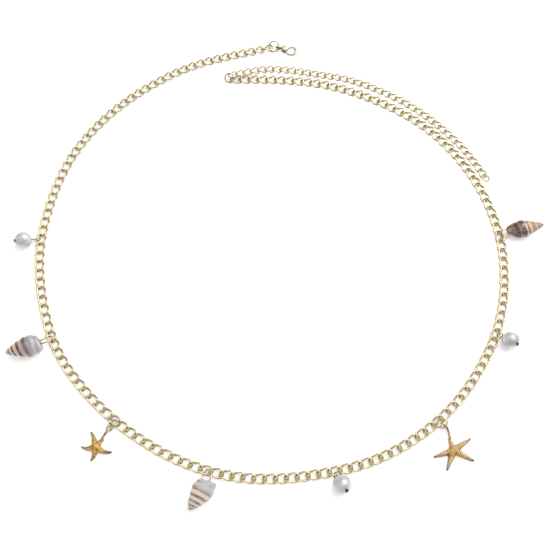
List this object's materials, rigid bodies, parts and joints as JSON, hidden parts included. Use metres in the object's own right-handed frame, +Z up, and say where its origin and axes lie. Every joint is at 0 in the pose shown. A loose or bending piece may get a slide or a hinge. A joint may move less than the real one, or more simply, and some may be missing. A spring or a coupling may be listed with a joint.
{
  "type": "waist chain",
  "caption": "Open waist chain of small curb links with a lobster clasp, a link extender and hanging pearl, spiral shell and starfish charms, laid out in a loop.",
  "frame": {"origin": "under the middle of the laid-out chain's outline, on the surface it lies on", "axes": "+Z up from the surface, +Y away from the viewer towards the clasp, +X to the right"},
  "size_m": [0.2498, 0.2434, 0.01],
  "materials": {
    "pale_gold_chain": "polished pale gold plating",
    "pale_gold_extender": "polished pale gold plating",
    "pale_gold_findings": "polished pale gold plating",
    "gold_pins": "polished gold plating",
    "gold_rings": "polished gold plating",
    "gold_starfish": "satin gold plating with darker tips",
    "pearl": "pearly grey white lustre",
    "banded_shell": "banded natural shell, cream to dark brown",
    "pale_shell": "natural shell, light grey with tan bands",
    "brown_shell": "natural shell, red brown with cream bands"
  },
  "bodies": {
    "chain": {"chain_left": "pale_gold_chain", "chain_right": "pale_gold_chain", "extender": "pale_gold_extender", "clasp_ring": "pale_gold_findings", "end_ring": "pale_gold_findings", "clasp_body": "pale_gold_findings", "pearl_left": "pearl", "pearl_left_pin": "gold_pins", "pearl_front": "pearl", "pearl_front_pin": "gold_pins", "pearl_right": "pearl", "pearl_right_pin": "gold_pins", "shell_left": "banded_shell", "shell_left_ring": "gold_rings", "shell_front": "pale_shell", "shell_front_ring": "gold_rings", "shell_right": "brown_shell", "shell_right_ring": "gold_rings", "starfish_left": "gold_starfish", "starfish_left_ring": "gold_rings", "starfish_right": "gold_starfish", "starfish_right_ring": "gold_rings"},
    "lever": {"clasp_lever": "pale_gold_findings"}
  },
  "joints": [
    {"name": "clasp_lever_hinge", "type": "hinge", "parent": "chain", "child": "lever", "pos_m": [0.00291, 0.11811, 0.00133], "axis": [0.068, -0.0157, 0.9976], "range_deg": [-22, 0], "stiffness_Nm_per_rad": 0.0001, "springref_deg": 17.19}
  ]
}
